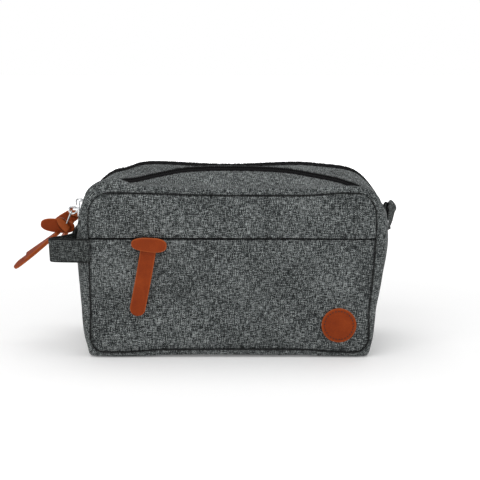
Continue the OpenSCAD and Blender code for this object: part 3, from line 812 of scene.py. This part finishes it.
dress(obj, "lining", "front_upper_lining")
on_lid(obj)


def inner(name, path, y0, y1, seed):
    """Lining behind the gusset or a top strip; the path runs so that the inner face is the seen one."""
    section = rim_section(inset=GUSSET_LINING_IN, y0=y0, y1=y1, tuck=False)
    return sweep(name, path, section, 0.6 * MM, depth=0.4 * MM, seed=seed)


obj = inner("gusset_lining_cloth", lower, FRONT, BACK, 15.0)
dress(obj, "lining", "gusset_lining", body="bag")
obj = inner("front_strip_lining_cloth", upper_in[::-1], FRONT, FRONT_ZIP - ZIP_CLEAR, 16.0)
dress(obj, "lining", "front_strip_lining")
on_lid(obj)
obj = inner("middle_strip_lining_cloth", upper_in[::-1], FRONT_ZIP + ZIP_CLEAR, REAR_ZIP - ZIP_CLEAR, 17.0)
dress(obj, "lining", "middle_strip_lining", body="bag")
obj = inner("rear_strip_lining_cloth", upper_in[::-1], REAR_ZIP + ZIP_CLEAR, BACK, 18.0)
dress(obj, "lining", "rear_strip_lining")
on_lid(obj)

# tapes over the inner seams
for side, u in (("front", 4.7 * MM), ("back", 3.4 * MM)):
    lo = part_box(f"{side}_binding")[0]
    sec = [(u - 2.6 * MM, lo[1] - 0.1 * MM), (u - 1.3 * MM, lo[1] - 0.3 * MM), (u - 0.1 * MM, lo[1] - 0.1 * MM)]
    obj = sweep(f"{side}_binding_tape", lower[::-1], sec, 0.5 * MM)
    dress(obj, "binding", f"{side}_binding", body="bag")

# the seam allowances above the pocket zip, which join the flap, the zip's upper tape and the inner wall
lo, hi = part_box("pocket_facing")
rows, uvs = [], []
for y, z in ((lo[1] + 0.3 * MM, lo[2]), (lo[1] + 0.3 * MM, hi[2] - 0.5 * MM), (lo[1] + 0.8 * MM, hi[2] - 0.1 * MM),
             (hi[1] - 0.4 * MM, hi[2] - 0.1 * MM), (hi[1] - 0.1 * MM, hi[2] - 1.2 * MM)):
    xs = steps(lo[0], hi[0], 4 * MM)
    rows.append([Vector((x, y, z)) for x in xs])
    uvs.append([(x, z + y) for x in xs])
obj = grid("pocket_facing_cloth", rows, uvs)
thicken(obj, 0.4 * MM)
dress(obj, "cloth", "pocket_facing", body="bag")

# ---------------------------------------------------------------- zips
def carry(obj, half):
    """The lid's half of a zip has its placement baked into its mesh, and the other half rides on the bag."""
    if half == "lid":
        on_lid(obj)
    else:
        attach(obj, "bag")


for side, zip_y, lid in (("front", FRONT_ZIP, "front_lid"), ("rear", REAR_ZIP, "rear_lid")):
    lid_side = -1 if side == "front" else 1
    for half, s in (("lid", lid_side), ("inner", -lid_side)):
        y0, y1 = sorted((zip_y + s * 0.7 * MM, zip_y + s * 9.5 * MM))
        sec = [(7.75 * MM, y) for y in steps(y0, y1, 2.2 * MM)]
        tape = sweep(f"{side}_tape_{half}_weave", upper_in, sec, 0.5 * MM)
        dress(tape, "zip_tape", f"{side}_zip_tape_{half}")
        teeth = coil(f"{side}_coil_{half}_loops", upper_in, zip_y, s, 7.8 * MM, 9.5 * MM)
        dress(teeth, "coil", f"{side}_zip_coil_{half}")
        carry(tape, half)
        carry(teeth, half)
        line = []
        for b, n in upper:
            p = b + n * (RIM + 0.05 * MM)
            p.y = zip_y + s * (SLOT + 1.9 * MM)
            line.append((settle(p), n))
        obj = stitches(f"{side}_stitches_{half}", line, length=2.4 * MM, gap=1.3 * MM, r=0.2 * MM)
        dress(obj, "cloth", mat="seam")
        carry(obj, half)

# pocket zip, behind the flap's edge
coil_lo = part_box("pocket_zip_coil_lower")
coil_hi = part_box("pocket_zip_coil_upper")
zip_z = (coil_lo[1][2] + coil_hi[0][2]) / 2
for half, s in (("upper", 1), ("lower", -1)):
    lo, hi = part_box(f"pocket_zip_tape_{half}")
    rows, uvs = [], []
    for z in steps(lo[2], hi[2], 2.4 * MM):
        xs = steps(lo[0], hi[0], 6 * MM)
        rows.append([Vector((x, lo[1], z)) for x in xs])
        uvs.append([(x, z) for x in xs])
    obj = grid(f"pocket_tape_{half}_weave", rows, uvs)
    thicken(obj, 0.5 * MM)
    dress(obj, "zip_tape", f"pocket_zip_tape_{half}", body="bag")
    lo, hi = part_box(f"pocket_zip_coil_{half}")
    xs = steps(lo[0], hi[0], 0.33 * MM)
    verts = []
    section = [(0.1, 0.1), (0.0, 0.8), (0.3, 1.0), (0.8, 1.0), (1.0, 0.6), (0.8, 0.0)]
    for i, x in enumerate(xs):
        wave = 0.5 + 0.5 * math.cos(math.pi * i / 2 + (math.pi if s > 0 else 0))
        for a, b in section:
            reach = 0.6 * MM + a * 2.2 * MM - (0.7 * wave * MM if a < 0.2 else 0)
            verts.append(Vector((x, hi[1] - (hi[1] - lo[1]) * b * (0.7 + 0.3 * wave), zip_z + s * reach)))
    obj = add_mesh(f"pocket_coil_{half}_loops", verts, tube_faces(len(xs), len(section)))
    fix_normals(obj)
    dress(obj, "coil", f"pocket_zip_coil_{half}", body="bag")

# ---------------------------------------------------------------- handle and tab
def curve_through(points, per=6):
    """Catmull-Rom points through a list of points."""
    out = []
    n = len(points)
    for i in range(n - 1):
        p0, p1, p2, p3 = (points[max(i - 1, 0)], points[i], points[i + 1], points[min(i + 2, n - 1)])
        for k in range(per):
            t = k / per
            out.append(0.5 * ((2 * p1) + (p2 - p0) * t + (2 * p0 - 5 * p1 + 4 * p2 - p3) * t * t
                              + (3 * p1 - p0 - 3 * p2 + p3) * t ** 3))
    out.append(points[-1])
    return out


strap_lo, strap_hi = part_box("handle_strap")
strap_z = (strap_lo[2] + strap_hi[2]) / 2
strap_w = (strap_hi[2] - strap_lo[2]) / 2
off = 1.6 * MM                                        # from the gusset's face to the strap's centre
out_x = strap_lo[0] + 1.2 * MM                        # the strap's centre at the loop's outer end
pts = [(-HALF + 0.5 * MM, FRONT + 0.6 * MM), (-HALF - 1.5 * MM, FRONT - 1.2 * MM), (-SIDE - 1 * MM, FRONT - 0.6 * MM),
       (-SIDE - 12 * MM, FRONT + 0.4 * MM), (out_x + 1.4 * MM, FRONT + 2.2 * MM), (out_x + 0.3 * MM, FRONT + 5.2 * MM),
       (out_x + 5 * MM, FRONT + 11 * MM), (-SIDE - 8 * MM, FRONT + 19 * MM), (-SIDE - off - 0.8 * MM, FRONT + 28 * MM),
       (-SIDE - off, FRONT + 38 * MM)]
pts += [(-SIDE - off, y * MM) for y in (-4, 8, 20, 32, 42)]
for a in (20, 40, 60, 80):
    r = RIM + off
    pts.append((-HALF - r * math.cos(math.radians(a)), BACK - RIM + r * math.sin(math.radians(a))))
pts.append((-HALF + 0.5 * MM, BACK - 0.4 * MM))
centre = []
for i, p in enumerate(curve_through([Vector((a, b, 0)) for a, b in pts], 5)):
    q = settle(Vector((max(p.x, -SIDE - off), p.y, strap_z)))
    shift = q.x - max(p.x, -SIDE - off)
    centre.append(Vector((p.x + shift, p.y, strap_z)))
lean = [Vector((0.05 * math.sin(i * 0.2), 0, 1)).normalized() for i in range(len(centre))]
strap = ribbon("handle_webbing", centre, lean, strap_w, 2.3 * MM, trim=0.45)
# the handle wears the darker copy of the cloth, painted shade
dress(strap, "cloth", "handle_strap", body="bag", mat="strap")
for edge, s in (("upper", 1), ("lower", -1)):
    line = []
    for i, c in enumerate(centre):
        a, b = centre[max(i - 1, 0)], centre[min(i + 1, len(centre) - 1)]
        tangent = (b - a).normalized()
        normal = tangent.cross(Vector((0, 0, 1))).normalized()
        line.append((c + normal * 1.2 * MM + Vector((0, 0, s * (strap_w - 1.8 * MM))), normal))
    obj = stitches(f"handle_stitches_{edge}", line, length=2.2 * MM, gap=1.2 * MM, r=0.18 * MM)
    dress(obj, "cloth", mat="seam", body="bag")

tab_lo, tab_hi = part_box("end_tab")
mid_y = (tab_lo[1] + tab_hi[1]) / 2
half_y = (tab_hi[1] - tab_lo[1]) / 2
x0, x1, z0, z1 = SIDE + 1.0 * MM, tab_hi[0], tab_lo[2], tab_hi[2]
loop = [(x0 + 3.2 * MM, z0 - 3 * MM), (x0 + 0.5 * MM, z0 + 8 * MM), (x0 + 0.3 * MM, z1 - 9 * MM),
        (x0 + 1.6 * MM, z1 - 4.4 * MM), (x1 - 4.6 * MM, z1 - 2.8 * MM), (x1 - 2.0 * MM, z1 - 6.6 * MM),
        (x1 - 2.8 * MM, z0 + 11 * MM), (x0 + 3.4 * MM, z0 + 3 * MM), (x0 + 1.2 * MM, z0 - 3 * MM)]
centre = curve_through([Vector((a, mid_y, b)) for a, b in loop], 5)
halves = [half_y * (0.3 + 0.5 * math.sin(math.pi * i / (len(centre) - 1))) for i in range(len(centre))]
slant = Vector((0.62, 0.78, 0))                       # the tab's width lies slantwise to the side
tab = ribbon("end_tab_loop", centre, slant, halves, 1.5 * MM, trim=0.45)
# the tab wears the darker copy of the cloth, painted shade
dress(tab, "cloth", "end_tab", body="bag", mat="strap")

# ---------------------------------------------------------------- leather
def turned_y(degrees):
    return Matrix.Rotation(math.radians(degrees), 4, "Y")


STRIP, HEAD_L, HEAD_W, HEAD_T = 12 * MM, 27 * MM, 11 * MM, 2.4 * MM
LONG_END, SHORT_END = 56 * MM, 42 * MM                # ends of a folded strip's two layers, from the wire
LAYER = 0.72 * MM                                     # from the middle of a folded strip to a layer's centre


def tongue(s0, s1, width, step=1.6 * MM):
    """Distances along a strip with a round end at s1, and its half width at each."""
    r = width / 2
    out = [(s, r) for s in steps(s0, s1 - r, step)]
    for a in (15, 30, 45, 58, 70, 80):
        a = math.radians(a)
        out.append((s1 - r + r * math.sin(a), r * math.cos(a)))
    out.append((s1 - 0.02 * MM, r * 0.06))
    return out


patch_lo, patch_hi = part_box("leather_patch")
pc = Vector(((patch_lo[0] + patch_hi[0]) / 2, 0, (patch_lo[2] + patch_hi[2]) / 2))
pr = (patch_hi[0] - patch_lo[0]) / 2
patch_y = patch_lo[1] + 0.55 * MM - 0.35 * MM
pc.x -= 1.4 * MM                                      # with the cloth, which narrows there
place = Matrix.Translation(Vector((pc.x, patch_y, pc.z)))
obj = lozenge("round_patch", 2 * pr, 2 * pr, 1.3 * MM, 0.12 * MM, place, groove=(5.4 * MM, 0.28 * MM))
dress(obj, "leather", "leather_patch", body="bag")
ring = []
count = 30
ring_r = 0.82 * pr
for i in range(count * 3 + 1):
    a = 2 * math.pi * i / (count * 3)
    at = Vector((pc.x + ring_r * math.cos(a), patch_y - 0.62 * MM, pc.z + ring_r * math.sin(a)))
    ring.append((at, Vector((0, -1, 0))))
pitch = 2 * math.pi * ring_r / count
obj = stitches("patch_thread", ring, length=0.6 * pitch, gap=0.4 * pitch, r=0.42 * MM)
dress(obj, "thread", "patch_stitches", body="bag")

# pocket pull: the strip is folded round the bail's bar
tilt = math.degrees(math.asin(-JOINT["pocket_bail_swing"]["axis"][2]))
bar = joint_at("pocket_pull_swing")
place = Matrix.Translation(bar) @ turned_y(tilt)
wrap = 1.5 * MM
path = [(s, w, -LAYER) for s, w in reversed(tongue(7 * MM, LONG_END, STRIP))]
path.append((3.5 * MM, STRIP / 2, -1.15 * MM))
for a in range(0, 181, 30):
    path.append((-wrap * math.sin(math.radians(a)), STRIP / 2, -wrap * math.cos(math.radians(a))))
path.append((3.5 * MM, STRIP / 2, 1.15 * MM))
path += [(s, STRIP / 2, LAYER) for s in steps(7 * MM, SHORT_END, 3 * MM)]
centre = [place @ Vector((-1.4 * MM * (max(s, 0) / LONG_END) ** 2, y, -s)) for s, w, y in path]
side = place.to_3x3() @ Vector((1, 0, 0))
obj = ribbon("pocket_pull_tongue", centre, side, [w for s, w, y in path], LEATHER)
dress(obj, "leather", "pocket_pull_strip", body="pocket_pull")
head_y = -(0.6 + 0.2 + 1.4 + 0.2 + 1.2) * MM          # wire, gap, strip, gap and half the head
head_at = place @ Matrix.Translation((0, head_y, 0.8 * MM)) @ turned_y(-5)
obj = lozenge("pocket_pull_oval", HEAD_L, HEAD_W, HEAD_T, 0.25 * MM, head_at, bevel=0.9 * MM, square=0.74, lean=0.1)
dress(obj, "leather", "pocket_pull_head", body="pocket_pull")

# side pulls: how far out the head lies and how it is turned, and the strip's drop and lean, in degrees
for side_name, off_m, tilt_d, drop, lean_d in (("front", 6.2 * MM, 7, 39.5, 10), ("rear", 10 * MM, -30, 60, 25)):
    hole = joint_at(f"{side_name}_pull_swing")
    place = Matrix.Translation(hole) @ turned_y(180 + tilt_d) @ Matrix.Translation((off_m, 0, 0))
    obj = lozenge(f"{side_name}_pull_oval", HEAD_L, HEAD_W, HEAD_T, 0.2 * MM, place, bevel=0.9 * MM, square=0.78)
    dress(obj, "leather", f"{side_name}_pull_head", body=f"{side_name}_pull")
    m = (turned_y(90 - drop) @ Matrix.Rotation(math.radians(lean_d), 4, "X")).to_3x3()
    down, across, out = m @ Vector((0, 0, -1)), m @ Vector((0, 1, 0)), m @ Vector((1, 0, 0))
    long = tongue(6.4 * MM, LONG_END, STRIP)
    short = [(s, STRIP / 2) for s in steps(6.4 * MM, SHORT_END, 2 * MM)]
    for layer, rows, shift in (("long", long, LAYER), ("short", short, -LAYER)):
        centre, sides = [], []
        for s, w in rows:
            twist = math.radians(-16) * smooth(s, 0.0, 0.05)
            sides.append((across * math.cos(twist) + out * math.sin(twist)).normalized())
            centre.append(hole + down * s + out * (shift - 1.6 * MM * (s / LONG_END) ** 2))
        obj = ribbon(f"{side_name}_pull_{layer}", centre, sides, [w for s, w in rows], LEATHER)
        dress(obj, "leather", f"{side_name}_pull_strip", body=f"{side_name}_pull")
    # the strip's end is folded up through the head, round the wire
    tip = Vector((-0.62, 0, 0.78)) if side_name == "front" else Vector((-0.9, 0, 0.12))
    # (place along tip, thickness), in mm
    fold = [(-4, 4.6), (-2.5, 6.0), (-0.5, 7.0), (1.5, 7.4), (3.5, 7.2), (5.5, 6.4), (7.2, 5.0), (8.4, 3.0),
            (8.9, 1.0)]
    obj = ribbon(f"{side_name}_pull_knot", [hole + tip * (k * MM) for k, t in fold], Vector((0, 1, 0)), 3.2 * MM,
                 [t * MM for k, t in fold], trim=0.3)
    dress(obj, "leather", body=f"{side_name}_pull")

# ---------------------------------------------------------------- CAD pieces that show as they are
slots = {s["node"]: s["material_slot"] for s in frame["record"]["subparts"]}
for name, node in frame["nodes"].items():
    node.data.materials.clear()
    node.data.materials.append(MATS[slots[name]])

# ---------------------------------------------------------------- stage, light, camera
def stage_floor():
    """A pale sheet of paper under and behind the bag."""
    mesh = bpy.data.meshes.new("floor")
    verts = [(x, y, 0) for y in (-3, 0, 5) for x in (-4, 0, 4)]
    mesh.from_pydata(verts, [], [(a, a + 1, a + 4, a + 3) for a in (0, 1, 3, 4)])
    floor = bpy.data.objects.new("floor", mesh)
    bpy.context.collection.objects.link(floor)
    n = Nodes("floor_paper")
    place = n.add("TexCoord").outputs["Object"]
    n.shader(Base_Color=n.ramp(n.noise(place, 3, 2), [(0.2, (0.87, 0.87, 0.87)), (0.8, (0.89, 0.89, 0.89))]),
             Roughness=0.7)
    # painted light: the paper glows, faintly near the object and more away from it, turning clean white
    away = n.add("VectorMath", operation="LENGTH")
    n.tree.links.new(n.scaled(place, (1, 1, 0)), away.inputs[0])
    glow = n.add("MapRange")
    for key, v in (("Value", away.outputs["Value"]), ("From Min", 0.3), ("From Max", 1.1), ("To Min", 0.17),
                   ("To Max", 0.8)):
        n.put(glow, key, v)
    n.shader(Emission_Color=(1, 1, 1, 1), Emission_Strength=glow.outputs[0])
    mesh.materials.append(n.mat)


def area_light(name, at, look, size, power):
    data = bpy.data.lights.new(name, "AREA")
    data.shape = "RECTANGLE"
    data.size, data.size_y = size
    data.energy = power
    light = bpy.data.objects.new(name, data)
    bpy.context.collection.objects.link(light)
    light.location = at
    light.rotation_euler = (Vector(look) - Vector(at)).to_track_quat("-Z", "Y").to_euler()


stage_floor()
area_light("key", (-0.7, -1.3, 1.5), (0, 0, 0.05), (1.4, 1.0), 11.5)
area_light("fill", (1.4, -1.0, 0.7), (0, 0, 0.07), (1.2, 1.2), 4.5)
area_light("top", (0, 0.3, 1.7), (0, 0, 0.05), (1.6, 1.2), 11)

world = bpy.data.worlds.new("studio")
bpy.context.scene.world = world
world.use_nodes = True
tree = world.node_tree
# the sky lights the bag at half strength, and the camera sees it clean white
back = tree.nodes["Background"]
camera_sky = tree.nodes.new("ShaderNodeBackground")
for sky, strength in ((back, 0.5), (camera_sky, 1.0)):
    sky.inputs["Color"].default_value = (1, 1, 1, 1)
    sky.inputs["Strength"].default_value = strength
mixer = tree.nodes.new("ShaderNodeMixShader")
ray = tree.nodes.new("ShaderNodeLightPath")
tree.links.new(ray.outputs["Is Camera Ray"], mixer.inputs[0])
tree.links.new(back.outputs[0], mixer.inputs[1])
tree.links.new(camera_sky.outputs[0], mixer.inputs[2])
tree.links.new(mixer.outputs[0], tree.nodes["World Output"].inputs["Surface"])

ELEVATION = math.radians(9.6)
DISTANCE = 1.05
target = Vector((0.0052, 0.0, 0.0836))
camera_data = bpy.data.cameras.new("camera")
camera_data.sensor_width = 36
camera_data.lens = 98
camera = bpy.data.objects.new("camera", camera_data)
bpy.context.collection.objects.link(camera)
camera.location = target + Vector((0, -math.cos(ELEVATION), math.sin(ELEVATION))) * DISTANCE
camera.rotation_euler = (target - camera.location).to_track_quat("-Z", "Y").to_euler()
bpy.context.scene.camera = camera
bpy.context.scene.view_settings.view_transform = "Standard"
